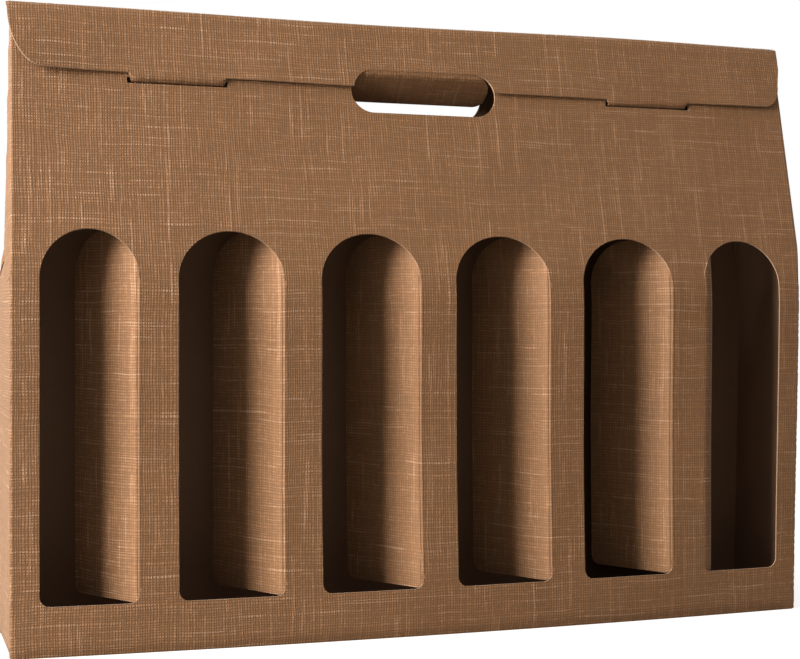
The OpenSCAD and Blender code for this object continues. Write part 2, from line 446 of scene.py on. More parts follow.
def rim_normals(flat, starts, ends):
    """Flat outward direction at each rim point, zero elsewhere."""
    along = flat[ends] - flat[starts]
    right = np.stack([along[:, 1], -along[:, 0]], axis=1)
    right /= np.linalg.norm(right, axis=1, keepdims=True)
    total = np.zeros_like(flat)
    np.add.at(total, starts, right)
    np.add.at(total, ends, right)
    length = np.linalg.norm(total, axis=1, keepdims=True)
    return np.where(length > 0, total / np.maximum(length, 1e-9), 0.0)


def folded(place, flat, where):
    """Places and outward normals of flat points."""
    u, v, d = flat[:, 0], flat[:, 1], NORMAL_STEP
    across = place(u + d, v, where) - place(u - d, v, where)
    upward = place(u, v + d, where) - place(u, v - d, where)
    normal = np.cross(across, upward)
    normal /= np.linalg.norm(normal, axis=1, keepdims=True)
    return place(u, v, where), normal


def smooth(t):
    """Eases from 0 to 1."""
    t = np.clip(t, 0.0, 1.0)
    return t * t * (3 - 2 * t)


# Folds of the panels

def section(v, bend_z, bend_r, lean):
    """Inward depth, height and lean along an upright panel's sheet, with its base fold and its bend."""
    base = np.clip((FOLD_R - v) / FOLD_R, 0, math.pi / 2)
    turned = np.clip((v - bend_z) / bend_r, 0, lean)
    past = np.maximum(v - bend_z - bend_r * lean, 0)
    depth = FOLD_R * (1 - np.cos(base)) + bend_r * (1 - np.cos(turned)) + past * math.sin(lean)
    upright = np.clip(v, FOLD_R, bend_z)
    z = upright - FOLD_R * np.sin(base) + bend_r * np.sin(turned) + past * math.cos(lean)
    return depth, z, turned - base


def sheet_v(z):
    """Place along a large panel's sheet of a height on its leaning part."""
    return BEND_Z + BEND_R * LEAN + (z - BEND_Z - BEND_R * math.sin(LEAN)) / math.cos(LEAN)


def lean_depth(inset, z):
    """Distance of a leaning panel's layer from the middle plane."""
    y = HALF_D - BEND_R + (BEND_R - inset) * math.cos(LEAN)
    return y - (z - BEND_Z - (BEND_R - inset) * math.sin(LEAN)) * math.tan(LEAN)


def bow(x, z):
    """How far the large panels swell between their corners, most at the base."""
    rise = BASE_BOW + (1 - BASE_BOW) * smooth(z / BASE_BOW_H)
    fall = 1 - smooth((z - BOW_END_Z) / BOW_END_H)
    return BOW * rise * fall * (1 - (x / HALF_W) ** 2)


def flared(place):
    """The same fold with the right end drawn in at its base and standing outward from its crease up."""
    def flare(u, v, where):
        points = place(u, v, where)
        share = np.clip(points[:, 0] / HALF_W, 0, None) ** 3
        points[:, 0] += share * (FLARE[0] + (FLARE[1] - FLARE[0]) * smooth(points[:, 2] / CREASE_Z))
        return points
    return flare


def wave(u, v, seed):
    """Faint unevenness of the board."""
    long_u, long_v, short_u, short_v = WAVE_LENGTHS
    slow = np.sin(u / long_u + seed) * np.sin(v / long_v + 2 * seed)
    return WAVE * (slow + 0.5 * np.sin(u / short_u - v / short_v + 3 * seed))


def front_draw(u, z):
    """How far the front's folds stand in from the corners above the crease: the top racks to the right."""
    start = smooth((z - CREASE_Z) / DRAW_IN_H)
    climb = np.clip((z - CREASE_Z - DRAW_IN_H) / DRAW_CLIMB_H, 0, None)
    left = LEFT_DRAW[0] * start + LEFT_DRAW[1] * climb
    right = RIGHT_DRAW[0] * start + RIGHT_DRAW[1] * climb
    return np.where(u < 0, left, right)


def strip_length(z):
    """How far a folded-in end runs straight back from the front's fold before it turns inward."""
    ear = STRIP_EAR * (1 - smooth((z - CREASE_Z) / STRIP_EAR_H))
    return STRIP_SHARE * lean_depth(0.0, z) + ear


def large_panel(u, v, layer=0.0, swell=1.0, seed=1.0, back=False):
    """Width, depth and height of a large panel's sheet: the ends turn in round the corners."""
    depth, z, lean = section(v, BEND_Z, BEND_R, LEAN)
    if back:
        drawn = smooth((z - CREASE_Z) / BACK_DRAW_H)
        edge = HALF_W - BACK_DRAW_IN * drawn
        radius = FOLD_R + (BACK_R - FOLD_R) * drawn
        most = np.full_like(z, math.pi)
        run = np.full_like(z, HALF_D)
    else:
        edge = HALF_W - front_draw(u, z)
        radius = np.full_like(z, FOLD_R)
        most = math.pi / 2 - STRIP_SLANT * smooth((z - CREASE_Z) / DRAW_IN_H)
        run = strip_length(z)
    past = np.maximum(np.abs(u) - edge + radius, 0)
    turn = np.minimum(past / radius, most)
    straight = np.clip(past - radius * most, 0, run)
    last = most + np.maximum(past - radius * most - run, 0) / STRIP_CURL_R
    x = np.minimum(np.abs(u), edge - radius) + radius * np.sin(turn) + straight * np.cos(most)
    x = np.sign(u) * (x + STRIP_CURL_R * (np.sin(last) - np.sin(most)))
    inward = radius * (1 - np.cos(turn)) + straight * np.sin(most) + layer
    inward = inward + STRIP_CURL_R * (np.cos(most) - np.cos(last))
    calm = smooth((HALF_W - np.abs(u)) / CALM_W) * smooth(v / CALM_LOW_H)
    calm = calm * (1 - smooth((v - CALM_TOP_V) / CALM_TOP_H))
    depth = depth + inward * np.cos(lean) - swell * bow(np.clip(x, -HALF_W, HALF_W), z)
    depth = depth - wave(u, v, seed) * calm
    return x, depth, z - inward * np.sin(lean)


def flap_of(flat):
    """Which window's flap each flat point belongs to, or zero for the panel itself."""
    where = np.zeros(len(flat), int)
    for i in range(WINDOW_N):
        where[inside(window_path(i, KERF / 2), flat)] = i + 1
    return where


def score_ripple(a):
    """Rise of the two lips and fall of the groove of a scored fold, by distance from its first line."""
    def hill(at):
        return np.exp(-((a - at) / SCORE_W) ** 2)
    return SCORE_LIP * (hill(0.0) + hill(SCORE_APART)) - SCORE_GROOVE * hill(SCORE_APART / 2)


def scored_fold(fold, length, last):
    """A function from distance past a window's fold to the place along the panel and into the box."""
    a = np.arange(0.0, length + 2.0, FOLD_STEP)
    if last:
        turned = fold * np.clip(a / (LAST_ROLL_R * fold), 0, 1)
    else:
        turned = fold * (SCORE_SHARE * smooth(a / SCORE_R)
                         + (1 - SCORE_SHARE) * smooth((a - SCORE_APART) / SCORE_R + 0.5))
    along = np.concatenate([[0.0], np.cumsum(np.cos(turned[:-1])) * FOLD_STEP])
    depth = np.concatenate([[0.0], np.cumsum(np.sin(turned[:-1])) * FOLD_STEP])
    ripple = 0.0 if last else score_ripple(a)
    along = along + ripple * np.sin(turned)
    depth = depth - ripple * np.cos(turned)
    return lambda d: (np.interp(d, a, along), np.interp(d, a, depth))


def front_place(u, v, where):
    """Front panel with its window flaps folded inward along their scored lines."""
    x, depth, z = large_panel(u, v)
    for i in range(WINDOW_N):
        left, width = window_place(i)
        last = i == WINDOW_N - 1
        hinge, side = (left, 1.0) if last else (left + width, -1.0)
        past = side * (u - hinge)
        fold = scored_fold(WINDOW_FOLDS[i], width, last)
        along, inward = fold(np.maximum(past, 0))
        held = np.clip(v, SILL_Z + SILL_R, SPRING_Z)
        _, at_hinge, _ = large_panel(np.full_like(u, hinge), held)
        _, below, _ = large_panel(np.full_like(u, hinge), held - 1.0)
        at_hinge = at_hinge + (at_hinge - below) * np.maximum(v - SPRING_Z, 0)
        mine = where == i + 1
        x = np.where(mine, hinge + side * along, x)
        beside = (where == 0) & (np.abs(past) < SCORE_APART) & (v == held) & (not last)
        depth = np.where(mine, at_hinge + inward, depth - np.where(beside, score_ripple(past), 0))
        z = np.where(mine, v, z)
    return np.stack([x, depth - HALF_D, z], axis=1)


def back_place(u, v, where):
    """Back panel, seen from behind."""
    x, depth, z = large_panel(u, v, swell=BACK_SWELL, seed=2.0, back=True)
    return np.stack([-x, HALF_D - depth, z], axis=1)


def end_place(side):
    """Upright end and the triangle that folds in above its crease."""
    def place(u, v, where):
        depth, z, _ = section(v, CREASE_Z - CREASE_R * math.tan(END_LEAN / 2), CREASE_R, END_LEAN)
        return np.stack([side * (HALF_W - depth), side * u, z], axis=1)
    return place


def wing_place(face):
    """Wing of a folded-in end, flat against the inside of a large panel."""
    def place(u, v, where):
        x, depth, z = large_panel(u, v, layer=2 * BOARD, swell=0.0, back=face > 0)
        return np.stack([-face * x, face * (HALF_D - depth), z], axis=1)
    return place


def level_place(height):
    """Bottom layer, seen from below."""
    def place(u, v, where):
        return np.stack([u, -v, np.full_like(u, height)], axis=1)
    return place


def seam_place(u, v, where):
    """Glued seam inside the back panel."""
    return np.stack([-u, np.full_like(u, HALF_D - BOARD), v], axis=1)


# Folds of the flap and the tongue

def folded_run(runs, at, heading):
    """A function from length along a folded strip to its outside face; runs are (length, turn, radius)."""
    parts, done = [], 0.0
    at = Vector(at)
    for length, turn, radius in runs:
        parts.append((done, at.copy(), heading, 0.0))
        at = at + length * Vector((math.cos(heading), math.sin(heading)))
        done += length
        if turn:
            centre = at + radius * Vector((-math.sin(heading), math.cos(heading)))
            parts.append((done, centre, heading, radius))
            heading += turn
            done += radius * turn
            at = centre - radius * Vector((-math.sin(heading), math.cos(heading)))

    def outside(s):
        y, z = np.zeros_like(s), np.zeros_like(s)
        for k, (start, point, angle, radius) in enumerate(parts):
            end = parts[k + 1][0] if k + 1 < len(parts) else np.inf
            mine = (s >= start) & (s < end) if k else s < end
            if radius:
                a = angle + (s - start) / radius
                y = np.where(mine, point.x + (radius + BOARD / 2) * np.sin(a), y)
                z = np.where(mine, point.y - (radius + BOARD / 2) * np.cos(a), z)
            else:
                y = np.where(mine, point.x + (s - start) * math.cos(angle) + BOARD / 2 * math.sin(angle), y)
                z = np.where(mine, point.y + (s - start) * math.sin(angle) - BOARD / 2 * math.cos(angle), z)
        return y, z
    return outside


# Course of the closing flap's sheet, from its root on the back to its tabs
SLOPE = Vector((math.cos(SLOPE_HEADING), math.sin(SLOPE_HEADING)))
RIDGE_CORNER = Vector((-lean_depth(-PLAY - BOARD / 2, HINGE.y), HINGE.y))
QUARTER = math.pi / 2 - LEAN
RIDGE_TANGENT = RIDGE_R * math.tan(QUARTER / 2)
HINGE_TANGENT = HINGE_R * math.tan(QUARTER / 2)
FLAP_RUNS = [
    (ROOT - HINGE_TANGENT, QUARTER, HINGE_R),
    (HINGE.x - RIDGE_CORNER.x - HINGE_TANGENT - RIDGE_TANGENT, QUARTER, RIDGE_R),
    (FLAP_DROP - RIDGE_TANGENT + TAB_LEAD, TAB_FOLD, TAB_R),
    (TAB_REACH, 0.0, 0.0)]
ROOT_AT = HINGE + ROOT * Vector((math.sin(LEAN), -math.cos(LEAN)))
flap_outside = folded_run(FLAP_RUNS, ROOT_AT, math.pi / 2 + LEAN)
RIDGE_S = FLAP_RUNS[0][0] + FLAP_RUNS[1][0] + QUARTER * (HINGE_R + RIDGE_R)
EDGE_S = RIDGE_S + FLAP_DROP - RIDGE_TANGENT
TAB_S = EDGE_S + TAB_LEAD + TAB_FOLD * TAB_R + TAB_REACH


def flap_s(z):
    """Length along the flap's sheet at a height on the front."""
    return RIDGE_S - RIDGE_TANGENT + (HINGE.y - z) / math.cos(LEAN)


def ridge_wave(u):
    """How the ridge rises and sags along the box."""
    sag, hump = [height * np.exp(-((u - at) / RIDGE_WAVE_W) ** 2) for height, at in (RIDGE_SAG, RIDGE_HUMP)]
    return RIDGE_RISE - sag + hump


def flap_place(u, v, where):
    """Closing flap: up the back, over the ridge, down the front and in with its tabs; its ends stand off."""
    y, z = flap_outside(-v)
    outer = TAB_X + TAB_W / 2
    inner = TAB_X - TAB_W / 2
    lift = LEFT_LIFT * smooth((-u - outer) / LEFT_LIFT_W) + RIGHT_LIFT * smooth((u - outer) / RIGHT_LIFT_W)
    ripple = 1 + MIDDLE_RIPPLE * np.sin(u / MIDDLE_RIPPLE_W)
    lift = lift + MIDDLE_LIFT * smooth((inner - np.abs(u)) / MIDDLE_LIFT_W) * ripple
    lift = lift * smooth((-v - RIDGE_S + LIFT_START) / LIFT_H)
    from_y, from_z = y - RIDGE_CORNER.x, z - RIDGE_CORNER.y
    y = RIDGE_CORNER.x + from_y * np.cos(lift) + from_z * np.sin(lift)
    z = RIDGE_CORNER.y + from_z * np.cos(lift) - from_y * np.sin(lift)
    fade = smooth(-v / ROOT) * (1 - np.clip((-v - RIDGE_S) / (EDGE_S - RIDGE_S), 0, 1))
    return np.stack([u, y, z + ridge_wave(u) * fade], axis=1)


# Course of the grip tongue's sheet, from the top of the notch
NOTCH_AT = RIDGE_CORNER + (HINGE.y - NOTCH_TOP_Z) / math.cos(LEAN) * SLOPE
TONGUE_RUNS = [(TONGUE_LEAD, TONGUE_FOLD, TONGUE_ROLL_R), (TONGUE_L, 0.0, 0.0)]
tongue_outside = folded_run(TONGUE_RUNS, NOTCH_AT, SLOPE_HEADING)


def tongue_place(u, v, where):
    """Grip tongue, rolling inward from the notch of the flap."""
    y, z = tongue_outside(-v)
    return np.stack([u, y, z], axis=1)


# Sheets of each piece

def score_points():
    """Close rows of points along the scored folds of the window flaps."""
    rows = []
    heights = np.arange(SILL_Z + SCORE_ABOVE_SILL, WINDOW_TOP, SCORE_ROW_STEP)
    for i in range(WINDOW_N):
        left, width = window_place(i)
        last = i == WINDOW_N - 1
        hinge, side = (left, 1.0) if last else (left + width, -1.0)
        reach = LAST_ROLL_R + ROLL_PAST if last else SCORE_APART + SCORE_PAST
        for a in np.arange(-SCORE_BEFORE, reach, SCORE_ROW):
            rows += [(hinge + side * a, v) for v in heights]
    return np.asarray(rows)


def end_points(low, high, back):
    """Close rows of points where a large panel turns round its corners."""
    across = SHEET_HALF_W + np.arange(*(BACK_ROWS if back else CORNER_ROWS))
    rows = [(u, v) for u in across for v in np.arange(low, high, CORNER_ROW_STEP)]
    if not back:
        for z in np.arange(CREASE_Z + CURL_ROWS_START, PANEL_TOP - CURL_ROWS_SHORT, CURL_ROW_STEP):
            start = SHEET_HALF_W + strip_length(z)
            rows += [(start + past, sheet_v(z)) for past in CURL_ROWS]
    return np.asarray([(side * u, v) for side in (-1, 1) for u, v in rows])


def flap_points():
    """Close rows of points along the ridge and along the folds of the tabs."""
    ridge = [(u, -s) for u in np.arange(-HALF_W + 2, HALF_W, STEP)
             for s in np.arange(RIDGE_ROW_START, RIDGE_S + 1, RIDGE_ROW)]
    tabs = [(side * TAB_X + u, -s) for side in (-1, 1)
            for u in np.arange(-TAB_ROW_HALF, TAB_ROW_HALF + 0.1, STEP)
            for s in np.arange(EDGE_S, TAB_S - TAB_REACH + 1, TAB_ROW)]
    return np.asarray(ridge + tabs)


def tongue_points():
    """Close rows of points along the fold of the grip tongue."""
    across = np.arange(-TONGUE_ROW_HALF, TONGUE_ROW_HALF + 0.1, TONGUE_ROW_STEP)
    return np.asarray([(u, -s) for u in across for s in np.arange(*TONGUE_ROWS)])


def mirrored(points):
    """The same points on the other side, in the order that goes on round an outline."""
    return [(-u, v) for u, v in points[::-1]]


def back_outline(top):
    """Outline of the back's sheet, which turns back inward round its corners above the crease."""
    half, more = SHEET_HALF_W, SHEET_HALF_W + END_TURN_MORE
    right = [(half, FOLD_LOW), (half, CREASE_Z - 2), (more, CREASE_Z + DRAW_IN_H), (more, top)]
    return right + mirrored(right)


def front_outline(top):
    """Outline of the front's sheet, which runs back along the ends above the crease."""
    right = [(SHEET_HALF_W, FOLD_LOW), (SHEET_HALF_W, CREASE_Z - 0.5)]
    for z in np.linspace(CREASE_Z, PANEL_TOP - FRONT_SHORT, STRIP_STEPS):
        curl = STRIP_CURL * smooth((z - CREASE_Z - STRIP_CURL_START) / STRIP_CURL_H)
        right.append((SHEET_HALF_W + strip_length(z) + curl, min(sheet_v(z), top)))
    return right + mirrored(right)


def hole_loop():
    """Hand hole in a large panel's sheet, with full round ends."""
    straight, radius, middle = (HOLE_W - HOLE_H) / 2, HOLE_H / 2, sheet_v(HOLE_Z)
    return (arc((straight, middle), radius, -90, 90, 4 * ARC_STEPS)
            + arc((-straight, middle), radius, 90, 270, 4 * ARC_STEPS))


def goes_on(p):
    """Points where a large panel's sheet goes on round its corners or under its base."""
    return (np.abs(p[:, 0]) > SHEET_HALF_W - SEAM_EDGE) | (p[:, 1] < 0)


def add_front(board):
    """Front panel, cut for the windows, the tabs and the hand."""
    top = sheet_v(PANEL_TOP - FRONT_SHORT)
    slits = [window_path(i, 0.0) + window_path(i, KERF)[::-1] for i in range(WINDOW_N)]
    slit_v = sheet_v(PANEL_TOP) - FLAP_DROP - TAB_LEAD - TAB_R + BOARD / 2
    half = TAB_W / 2 + SLIT_ROOM
    for side in (-1, 1):
        middle = side * TAB_X
        slits.append(rectangle(middle - half, slit_v - BOARD, middle + half, slit_v + BOARD))
    extra = np.concatenate([score_points(), end_points(FOLD_LOW + 1, top - 1, False)])
    board.add(front_outline(top), front_place, slits + [hole_loop()],
              extra=extra, region=flap_of, seam=goes_on)


def add_back(board):
    """Back panel with its hand hole, up to the root of the closing flap."""
    top = sheet_v(HINGE.y) - ROOT
    extra = end_points(FOLD_LOW + 1, top - 1, True)
    board.add(back_outline(top), back_place, [hole_loop()],
              extra=extra, shift=(2 * HALF_W + 2 * HALF_D, 0.0),
              seam=lambda p: goes_on(p) | (p[:, 1] > top - SEAM_EDGE))


def add_ends(board):
    """Both ends: upright below the crease, folded in above it, with their wings."""
    half = HALF_D - FOLD_R
    top = PANEL_TOP - END_SHORT
    high = CREASE_Z + (top - CREASE_Z) / math.cos(END_LEAN)
    narrow = lean_depth(SHEET, top)
    wide = lean_depth(SHEET, CREASE_Z + 2)
    right = [(half, CREASE_Z - 1), (wide, CREASE_Z + 2), (narrow, high)]
    outline = [(-half, FOLD_LOW), (half, FOLD_LOW)] + right + mirrored(right)
    edge = HALF_W - BACK_R - BACK_DRAW_IN
    inner = HALF_W - END_SLOPE * (top - CREASE_Z) - BOARD
    wing = [(inner, sheet_v(top)), (edge, sheet_v(CREASE_Z + WING_RISE)), (edge, sheet_v(top))]
    for side in (-1, 1):
        board.add(outline, end_place(side), shift=(side * (HALF_W + HALF_D), 0.0),
                  seam=lambda p: p[:, 1] < CREASE_Z)
        for face in (-1, 1):
            turned = wing if side * face < 0 else mirrored(wing)
            board.add(turned, wing_place(-face), shift=(0.0, HALF_W), rim=INNER)


def add_bottom(board):
    """Locked bottom: two flaps that meet in a joint with a tongue, over an inner layer."""
    half_u, half_v = HALF_W - FOLD_R, HALF_D - FOLD_R
    reach = BOTTOM_REACH * HALF_D
    root = BOTTOM_ROOT * HALF_W
    end = BOTTOM_END * HALF_W
    far = half_u - BOTTOM_MARGIN
    line = [(-far, 0.0), (-root, 0.0), (-end, reach), (end, reach), (root, 0.0), (far, 0.0)]
    joint = [(u, v - BOTTOM_GAP) for u, v in line] + [(u, v + BOTTOM_GAP) for u, v in line[::-1]]
    across = np.linspace(-half_u, half_u, BASE_STEPS)
    outline = [(u, half_v + bow(u, 0.0)) for u in across[::-1]]
    outline += [(u, -half_v - BACK_SWELL * bow(u, 0.0)) for u in across]
    at_u, at_v = half_u - SEAM_EDGE, half_v - SEAM_EDGE
    board.add(outline, level_place(0.0), [joint], shift=(0.0, -HALF_W),
              seam=lambda p: (np.abs(p[:, 0]) > at_u) | (np.abs(p[:, 1]) > at_v))
    half_u, half_v = HALF_W - BOARD, HALF_D - BOARD
    board.add(rectangle(-half_u, -half_v, half_u, half_v), level_place(BOARD), shift=(0.0, -HALF_W))


def add_seam(board):
    """Glued edge strip of the left end, inside the back."""
    low, high, slope = 3 * BOARD, BEND_Z, SEAM_SLANT * SEAM_W
    edge = HALF_W - BOARD
    outline = [(edge - SEAM_W, low + slope), (edge, low), (edge, high), (edge - SEAM_W, high - slope)]
    board.add(outline, seam_place, shift=(0.0, 2 * HALF_W))


def flap_outline():
    """Closing flap's sheet: its root on the back, its rounded corners, the tabs and the notch."""
    low, foot, ridge = -EDGE_S, -TAB_S, -RIDGE_S + 1
    edge, raised = -HALF_W + LEFT_SLANT, low + LEFT_RAISE[0]
    wide, tall = LEFT_CORNER
    left = [(-HALF_W + LEFT_TOP_IN, ridge)]
    left += [(edge + wide * (1 + math.cos(a)), raised + tall * (1 + math.sin(a)))
             for a in np.linspace(math.pi, 1.5 * math.pi, 2 * ARC_STEPS)]
    wide, tall = RIGHT_CORNER
    right = [(HALF_W - wide * (1 - math.cos(a)), low + tall * (1 + math.sin(a)))
             for a in np.linspace(1.5 * math.pi, 2 * math.pi, 2 * ARC_STEPS)]
    right += [(HALF_W + RIGHT_OUT, low + tall + RIGHT_TAPER), (HALF_W + RIGHT_OUT, ridge)]
    half = TAB_W / 2

    def tab(middle, before, after):
        """One locking tab, with the flap's edge raised before and after it."""
        return [(middle - half, low + before), (middle - half + TAB_TAPER, low - 2 * TAB_TAPER),
                (middle - half + 2 * TAB_TAPER, foot), (middle + half - 2 * TAB_TAPER, foot),
                (middle + half - TAB_TAPER, low - 2 * TAB_TAPER), (middle + half, low + after)]

    radius, straight = HOLE_H / 2 - NOTCH_INSET, (HOLE_W - HOLE_H) / 2
    middle = -flap_s(HOLE_Z)
    dip = math.degrees(math.asin((low - middle) / radius))
    notch = (arc((-straight, middle), radius, 180 - dip, 90, 2 * ARC_STEPS)
             + arc((straight, middle), radius, 90, dip, 2 * ARC_STEPS))
    root_half, root_v = HALF_W - BACK_DRAW_IN, -ROOT + 1
    root = [(HALF_W, -ROOT), (root_half, root_v), (root_half, 0.0),
            (-root_half, 0.0), (-root_half, root_v), (-HALF_W + ROOT_LEFT_IN, -ROOT)]
    return left + tab(-TAB_X, *LEFT_RAISE) + notch + tab(TAB_X, 0.0, 0.0) + right + root


def flap_seam(p):
    """Points where the flap goes on into the back panel or the grip tongue."""
    u, v = p[:, 0], p[:, 1]
    at_notch = (v > -flap_s(NOTCH_TOP_Z) - 0.05) & (np.abs(u) < HOLE_W / 2) & (v < -ROOT - 2)
    return (v > -SEAM_EDGE) | at_notch


def tongue_outline():
    """Grip tongue's sheet, cut along the notch at its root."""
    upper, lower = HOLE_H / 2 - NOTCH_INSET - PLAY, TONGUE_CORNER_R
    root = (HOLE_W - HOLE_H) / 2
    half, low = root + upper, -TONGUE_L
    return (arc((-root, -upper), upper, 90, 180) + arc((-half + lower, low + lower), lower, 180, 270)
            + arc((half - lower, low + lower), lower, 270, 360) + arc((root, -upper), upper, 0, 90))


# Materials

class Nodes:
    """Short-hand for building a material's nodes."""

    def __init__(self, name):
        self.material = bpy.data.materials.new(name)
        self.material.use_nodes = True
        self.tree = self.material.node_tree
        self.shader = self.tree.nodes["Principled BSDF"]

    def add(self, kind, **settings):
        """One node with its settings."""
        node = self.tree.nodes.new(kind)
        for key, value in settings.items():
            setattr(node, key, value)
        return node

    def link(self, out, into):
        self.tree.links.new(out, into)

    def math(self, operation, a, b=None, c=None, clamp=False):
        """One math node on numbers or sockets."""
        node = self.add("ShaderNodeMath", operation=operation, use_clamp=clamp)
        for socket, value in zip(node.inputs, (a, b, c)):
            if value is None:
                continue
            if isinstance(value, (int, float)):
                socket.default_value = value
            else:
                self.link(value, socket)
        return node.outputs[0]

    def noise(self, vector, detail=2.0, rough=0.5):
        """Noise whose scale lies in its vector."""
        node = self.add("ShaderNodeTexNoise")
        node.inputs["Scale"].default_value = 1.0
        node.inputs["Detail"].default_value = detail
        node.inputs["Roughness"].default_value = rough
        self.link(vector, node.inputs["Vector"])
        return node.outputs["Fac"]

    def cells(self, count, feature):
        """Cells of uneven width along a line."""
        node = self.add("ShaderNodeTexVoronoi", voronoi_dimensions="1D", feature=feature)
        node.inputs["Scale"].default_value = 1.0
        node.inputs["Randomness"].default_value = 0.9
        self.link(count, node.inputs["W"])
        return node

    def stretched(self, u, v, per_u, per_v, offset):
        """Sheet coordinates with a scale of their own each way."""
        node = self.add("ShaderNodeCombineXYZ")
        self.link(self.math("MULTIPLY", u, per_u), node.inputs[0])
        self.link(self.math("MULTIPLY", v, per_v), node.inputs[1])
        node.inputs[2].default_value = offset
        return node.outputs[0]

    def band(self, value, low, high):
        """0 below low, 1 above high."""
        node = self.add("ShaderNodeMapRange", interpolation_type="SMOOTHSTEP")
        self.link(value, node.inputs["Value"])
        node.inputs["From Min"].default_value = low
        node.inputs["From Max"].default_value = high
        return node.outputs[0]

    def ramp(self, value, stops):
        """A colour for each value, from stops of place and colour."""
        node = self.add("ShaderNodeValToRGB")
        elements = node.color_ramp.elements
        while len(elements) < len(stops):
            elements.new(0.5)
        for element, (at, colour) in zip(elements, stops):
            element.position = at
            element.color = (*colour, 1.0)
        self.link(value, node.inputs[0])
        return node.outputs[0]

    def bump(self, height, distance, strength):
        """Relief on the shader."""
        node = self.add("ShaderNodeBump")
        node.inputs["Distance"].default_value = distance
        node.inputs["Strength"].default_value = strength
        self.link(height, node.inputs["Height"])
        self.link(node.outputs[0], self.shader.inputs["Normal"])

    def sheet(self):
        """Sheet coordinates in metres."""
        uv = self.add("ShaderNodeUVMap", uv_map="sheet")
        split = self.add("ShaderNodeSeparateXYZ")
        self.link(uv.outputs[0], split.inputs[0])
        return split.outputs[0], split.outputs[1]


def scaled(colour, factor):
    """A colour made lighter or darker."""
    return tuple(c * factor for c in colour)


# Colours of the board: linen side low and high (painted shade in the low weave, painted highlight on the
# high threads), inside, and cut edge
LINEN_BROWN = (0.258, 0.122, 0.050)
LINEN_PAINTED_HIGHLIGHT = (0.47, 0.305, 0.21)
INNER_BROWN = (0.170, 0.088, 0.044)
CUT_PEACH = (0.36, 0.235, 0.145)

# Threads of the linen: widths in metres, how they wander, and how soft their sides are
THREAD_PITCH = 1.3 * MM
SLUB_PITCH = 2.1 * MM
THREADS_APART = 7.3
WANDER = 2.2
WANDER_PER_M = (20, 32)
THREAD_SIDE = 0.44

# Patches along the threads: how many in a metre, and the band of noise that brings them
GRAIN_PER_M = 450
GRAIN_BAND = (0.30, 0.70)
RIB_PER_M = 90
WARP_RIB_BAND = (0.45, 0.70)
WEFT_RIB_BAND = (0.48, 0.72)
WARP_SLUB_PER_M = 22
WEFT_SLUB_PER_M = 24
SLUB_BAND = (0.58, 0.68)

# Heights of the linen, as shares of the emboss, which is made flatter towards the right, so that its bump
# and its painted light and shade fade there
EMBOSS = 0.18 * MM
KNOT_H = 0.80
KNOT_GRAIN = 0.60
WARP_RIB_H = 0.22
WEFT_RIB_H = 0.24
SLUB_H = 0.26
SLUB_KNOT_H = 0.42
MEAN_HEIGHT = 0.42
RIGHT_FADE_SPAN = (-0.20, 0.02)
RIGHT_FADE_LOSS = 0.22

# Shade of the linen: painted light and shade by height, and tone in wide clouds
HEIGHT_PAINTED_LIGHT = 0.62
CLOUD_SHADE = 0.14
CLOUD_PER_M = 24
LOW_ROUGHNESS = 0.72
HIGH_SMOOTHER = 0.10
SHEEN_TINT = (1.0, 0.92, 0.82, 1.0)

# Fibres of the plain inside and of the cut edge
INNER_FIBRES_PER_M = (900, 500)
INNER_CLOUD_PER_M = 40
INNER_FIBRE_SHADE = 0.6
INNER_RELIEF = 0.05 * MM
CUT_FIBRES_PER_M = 1400
CUT_RELIEF = 0.06 * MM


# A seed only moves a pattern, so that no two agree

def threads(n, across, along, pitch, seed):
    """One set of uneven threads: the ridge of each, and a number of its own for each."""
    wander = n.noise(n.stretched(across, along, *WANDER_PER_M, seed))
    count = n.math("MULTIPLY_ADD", wander, WANDER, n.math("MULTIPLY", across, 1 / pitch))
    count = n.math("ADD", count, 40 * seed)
    edge = n.cells(count, "DISTANCE_TO_EDGE").outputs["Distance"]
    number = n.cells(count, "F1").outputs["W"]
    return n.band(edge, 0.0, THREAD_SIDE), n.math("MULTIPLY", number, THREADS_APART)


def along_thread(n, number, along, per_metre, band, seed):
    """A strength that comes and goes along each thread by itself."""
    return n.band(n.noise(n.stretched(number, along, 1.0, per_metre, seed)), *band)


